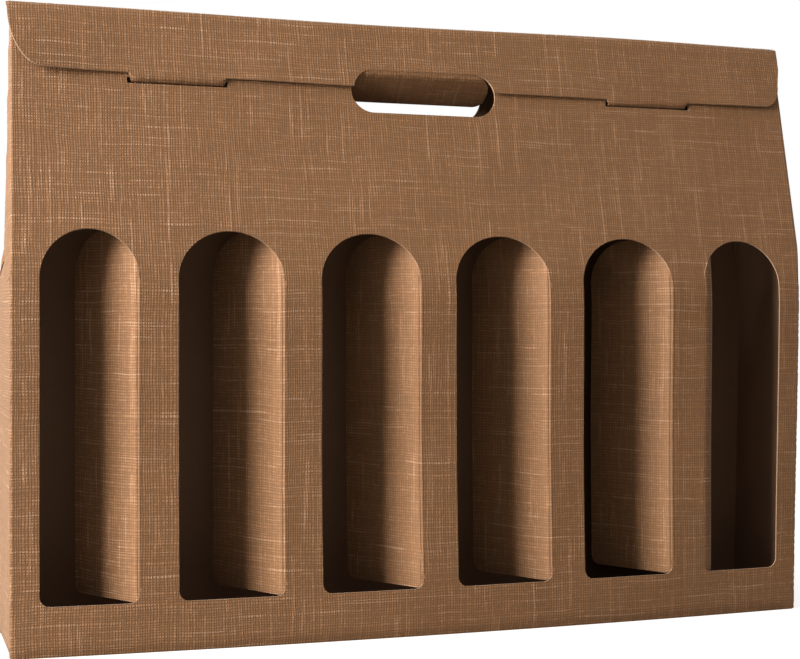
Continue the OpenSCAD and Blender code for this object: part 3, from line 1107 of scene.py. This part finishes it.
def linen_height(n, u, v):
    """Height of the linen: knots where threads cross, patches of ribs, and long slubs."""
    warp, warp_number = threads(n, u, v, THREAD_PITCH, 1.3)
    weft, weft_number = threads(n, v, u, THREAD_PITCH, 8.1)
    wide_warp, wide_number = threads(n, u, v, SLUB_PITCH, 4.7)
    cross = n.math("MULTIPLY", warp, weft)
    grain = n.noise(n.stretched(u, v, GRAIN_PER_M, GRAIN_PER_M, 3.9))
    grain = n.math("MULTIPLY_ADD", n.band(grain, *GRAIN_BAND), KNOT_GRAIN, 1 - KNOT_GRAIN)
    knots = n.math("MULTIPLY", cross, grain)
    warp_patch = along_thread(n, warp_number, v, RIB_PER_M, WARP_RIB_BAND, 2.6)
    weft_patch = along_thread(n, weft_number, u, RIB_PER_M, WEFT_RIB_BAND, 5.2)
    weft_rib = n.math("MULTIPLY", n.math("MULTIPLY", weft, weft_patch), WEFT_RIB_H)
    ribs = n.math("MULTIPLY_ADD", n.math("MULTIPLY", warp, warp_patch), WARP_RIB_H, weft_rib)
    warp_patch = along_thread(n, wide_number, v, WARP_SLUB_PER_M, SLUB_BAND, 9.4)
    weft_patch = along_thread(n, weft_number, u, WEFT_SLUB_PER_M, SLUB_BAND, 7.7)
    warp_slub = n.math("MULTIPLY", wide_warp, warp_patch)
    weft_slub = n.math("MULTIPLY", weft, weft_patch)
    slub = n.math("MAXIMUM", warp_slub, weft_slub)
    slubs = n.math("MULTIPLY", slub, n.math("MULTIPLY_ADD", cross, SLUB_KNOT_H, SLUB_H))
    height = n.math("ADD", n.math("ADD", n.math("MULTIPLY", knots, KNOT_H), ribs), slubs)
    # Flatter towards the right: this also weakens the painted highlight and painted shade on that side.
    right_fade = n.math("MULTIPLY_ADD", n.band(u, *RIGHT_FADE_SPAN), -RIGHT_FADE_LOSS, 1.0)
    return n.math("MULTIPLY_ADD", n.math("SUBTRACT", height, MEAN_HEIGHT), right_fade, MEAN_HEIGHT)


def linen_material():
    """Brown board embossed with linen, with a painted highlight on its high threads and painted shade in its
    low weave.
    """
    n = Nodes("linen_board")
    u, v = n.sheet()
    height = linen_height(n, u, v)
    tone = n.noise(n.stretched(u, v, CLOUD_PER_M, CLOUD_PER_M, 2.2), detail=3.0)
    cloud = n.math("MULTIPLY_ADD", tone, CLOUD_SHADE, -CLOUD_SHADE / 2)
    # Painted light and shade: the colour follows the weave's height, lighter on the high threads as if lit
    # and darker in the low weave as if shaded.
    shade = n.math("ADD", n.math("MULTIPLY", height, HEIGHT_PAINTED_LIGHT), cloud, clamp=True)
    stops = [(0.0, scaled(LINEN_BROWN, 0.62)), (0.35, scaled(LINEN_BROWN, 1.12)), (1.0, LINEN_PAINTED_HIGHLIGHT)]
    n.link(n.ramp(shade, stops), n.shader.inputs["Base Color"])
    roughness = n.math("MULTIPLY_ADD", height, -HIGH_SMOOTHER, LOW_ROUGHNESS)
    n.link(roughness, n.shader.inputs["Roughness"])
    n.shader.inputs["Specular IOR Level"].default_value = 0.3
    n.shader.inputs["Sheen Weight"].default_value = 0.4
    n.shader.inputs["Sheen Tint"].default_value = SHEEN_TINT
    n.shader.inputs["Sheen Roughness"].default_value = 0.3
    n.bump(height, EMBOSS, 1.0)
    return n.material


def inner_material():
    """Plain inside of the board, with faint fibres."""
    n = Nodes("plain_board")
    u, v = n.sheet()
    fibre = n.noise(n.stretched(u, v, *INNER_FIBRES_PER_M, 0.6), detail=4.0, rough=0.6)
    cloud = n.noise(n.stretched(u, v, INNER_CLOUD_PER_M, INNER_CLOUD_PER_M, 5.1), detail=3.0)
    cloud = n.math("MULTIPLY", cloud, 1 - INNER_FIBRE_SHADE)
    shade = n.math("ADD", n.math("MULTIPLY", fibre, INNER_FIBRE_SHADE), cloud)
    colour = n.ramp(shade, [(0.25, scaled(INNER_BROWN, 0.85)), (0.75, scaled(INNER_BROWN, 1.15))])
    n.link(colour, n.shader.inputs["Base Color"])
    n.shader.inputs["Roughness"].default_value = 0.88
    n.bump(fibre, INNER_RELIEF, 0.4)
    return n.material


def edge_material():
    """Pale core of the board at its cut edges."""
    n = Nodes("cut_edge")
    u, v = n.sheet()
    fibre = n.noise(n.stretched(u, v, CUT_FIBRES_PER_M, CUT_FIBRES_PER_M, 3.3), detail=3.0, rough=0.6)
    colour = n.ramp(fibre, [(0.3, scaled(CUT_PEACH, 0.72)), (0.7, scaled(CUT_PEACH, 1.1))])
    n.link(colour, n.shader.inputs["Base Color"])
    n.shader.inputs["Roughness"].default_value = 0.9
    n.bump(fibre, CUT_RELIEF, 0.5)
    return n.material


board_materials = [linen_material(), inner_material(), edge_material()]


# Pieces

carton = Board(flared)
add_front(carton)
add_back(carton)
add_ends(carton)
add_bottom(carton)
add_seam(carton)
carton_piece = carton.piece("carton_board", board_materials)
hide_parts("carton")
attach(carton_piece, "carton")

flap = Board()
flap.add(flap_outline(), flap_place, extra=flap_points(), shift=(0.0, 4 * HALF_W), seam=flap_seam)
flap_piece = flap.piece("closing_flap_board", board_materials)
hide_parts("closing_flap")
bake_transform(flap_piece)

tongue = Board()
tongue.add(tongue_outline(), tongue_place, step=TONGUE_STEP, extra=tongue_points(),
           shift=(0.0, 4 * HALF_W - flap_s(NOTCH_TOP_Z)), seam=lambda p: p[:, 1] > -0.05)
tongue_piece = tongue.piece("grip_tongue_board", board_materials)
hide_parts("grip_tongue")
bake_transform(tongue_piece)


# Camera at the photograph's viewpoint

PHOTO_W = 800
FOCAL_PX = 1570.0
CAMERA_AT = Vector((-270.5, -776.4, 162.3)) * MM
YAW, PITCH, ROLL = math.radians(18.61), math.radians(-0.66), math.radians(0.196)
SENSOR = 36.0


def make_camera():
    """Camera with the fitted place, direction and focal length."""
    forward = Vector((math.sin(YAW) * math.cos(PITCH), math.cos(YAW) * math.cos(PITCH), math.sin(PITCH)))
    level = Vector((math.cos(YAW), -math.sin(YAW), 0.0))
    right = level * math.cos(ROLL) + level.cross(forward) * math.sin(ROLL)
    up = right.cross(forward)
    data = bpy.data.cameras.new("photo_camera")
    data.sensor_fit = "HORIZONTAL"
    data.sensor_width = SENSOR
    data.lens = FOCAL_PX / PHOTO_W * SENSOR
    data.clip_start = 0.01
    camera = bpy.data.objects.new("photo_camera", data)
    turn = Matrix((right, up, -forward)).transposed().to_4x4()
    camera.matrix_world = Matrix.Translation(CAMERA_AT) @ turn
    show(camera)
    bpy.context.scene.camera = camera


# Floor and light

FLOOR_HALF = 3.0
FLOOR_Z = -0.02 * MM
FLOOR_PALE = (0.32, 0.30, 0.27)
FLOOR_GLOW = 0.80
AMBIENT_LOW = 0.09
AMBIENT_TOP = 0.63
TARGET = Vector((0.0, 0.0, 0.15))
KEY_AT = (-1.38, -0.335, 0.66)
KEY_SIZE = 0.8
KEY_POWER = 58.5


def make_floor():
    """Plain pale floor under the box, which glows towards the camera so that it shows white."""
    mesh = bpy.data.meshes.new("floor")
    corners = rectangle(-FLOOR_HALF, -FLOOR_HALF, FLOOR_HALF, FLOOR_HALF)
    mesh.from_pydata([(x, y, FLOOR_Z) for x, y in corners], [], [(0, 1, 2, 3)])
    n = Nodes("floor")
    n.shader.inputs["Base Color"].default_value = (*FLOOR_PALE, 1.0)
    n.shader.inputs["Roughness"].default_value = 0.9
    n.shader.inputs["Specular IOR Level"].default_value = 0.1
    n.shader.inputs["Emission Color"].default_value = (1.0, 1.0, 1.0, 1.0)
    path = n.add("ShaderNodeLightPath")
    glow = n.math("MULTIPLY", path.outputs["Is Camera Ray"], FLOOR_GLOW)
    n.link(glow, n.shader.inputs["Emission Strength"])
    mesh.materials.append(n.material)
    floor = bpy.data.objects.new("floor", mesh)
    show(floor)


def area_light(name, at, size, power):
    """Square soft box that faces the object."""
    data = bpy.data.lights.new(name, "AREA")
    data.shape = "SQUARE"
    data.size = size
    data.energy = power
    light = bpy.data.objects.new(name, data)
    light.location = at
    light.rotation_euler = (TARGET - Vector(at)).to_track_quat("-Z", "Y").to_euler()
    show(light)


def make_world():
    """White to the camera and in reflections; otherwise faint from the sides and brighter from above."""
    world = bpy.data.worlds.new("studio")
    bpy.context.scene.world = world
    world.use_nodes = True
    new, link = world.node_tree.nodes.new, world.node_tree.links.new
    back = world.node_tree.nodes["Background"]
    path = new("ShaderNodeLightPath")
    seen = path.outputs["Is Camera Ray"]
    for kind in ("Is Glossy Ray", "Is Transmission Ray"):
        either = new("ShaderNodeMath")
        either.operation = "MAXIMUM"
        link(seen, either.inputs[0])
        link(path.outputs[kind], either.inputs[1])
        seen = either.outputs[0]
    place = new("ShaderNodeTexCoord")
    split = new("ShaderNodeSeparateXYZ")
    link(place.outputs["Generated"], split.inputs[0])
    sky = new("ShaderNodeMapRange")
    link(split.outputs["Z"], sky.inputs["Value"])
    sky.inputs["To Min"].default_value = AMBIENT_LOW
    sky.inputs["To Max"].default_value = AMBIENT_TOP
    level = new("ShaderNodeMapRange")
    link(seen, level.inputs["Value"])
    link(sky.outputs[0], level.inputs["To Min"])
    level.inputs["To Max"].default_value = 1.0
    link(level.outputs[0], back.inputs["Strength"])
    back.inputs["Color"].default_value = (1.0, 1.0, 1.0, 1.0)


make_camera()
make_floor()
make_world()
area_light("key", KEY_AT, KEY_SIZE, KEY_POWER)
bpy.context.scene.view_settings.view_transform = "Standard"
